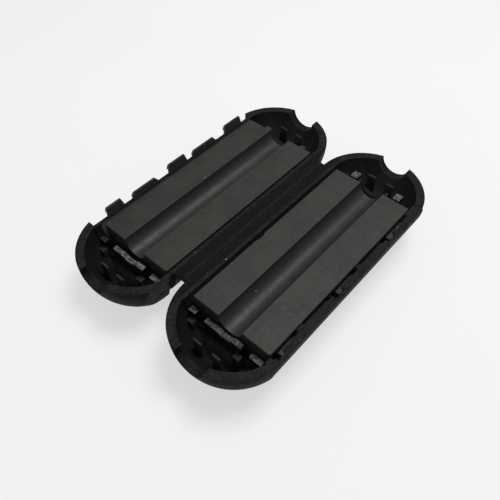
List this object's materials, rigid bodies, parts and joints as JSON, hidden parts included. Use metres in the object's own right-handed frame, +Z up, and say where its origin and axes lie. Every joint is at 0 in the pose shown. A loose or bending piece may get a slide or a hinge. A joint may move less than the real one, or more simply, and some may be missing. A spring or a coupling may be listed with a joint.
{
  "type": "clip on ferrite bead",
  "caption": "Hinged clip-on ferrite bead for a thin round cable, lying open: half cores of ferrite in a black case that folds along a strap and snaps shut with hooks.",
  "frame": {"origin": "on the ground under the middle of the fold line between the open halves", "axes": "+Z up, +Y along the cable towards the far end, +X from the fold line to the half with the catches"},
  "size_m": [0.0354, 0.0474, 0.0098],
  "materials": {
    "case": "black nylon, satin",
    "ferrite": "ground dark grey ferrite ceramic"
  },
  "bodies": {
    "latch_side": {"case_latch_half": "case", "core_latch_half": "ferrite"},
    "catch_side": {"case_catch_half": "case", "core_catch_half": "ferrite"}
  },
  "joints": [
    {"name": "strap_fold", "type": "hinge", "parent": "latch_side", "child": "catch_side", "pos_m": [0, 0, 0.00812], "axis": [0, -1, 0], "range_deg": [0, 180]}
  ]
}
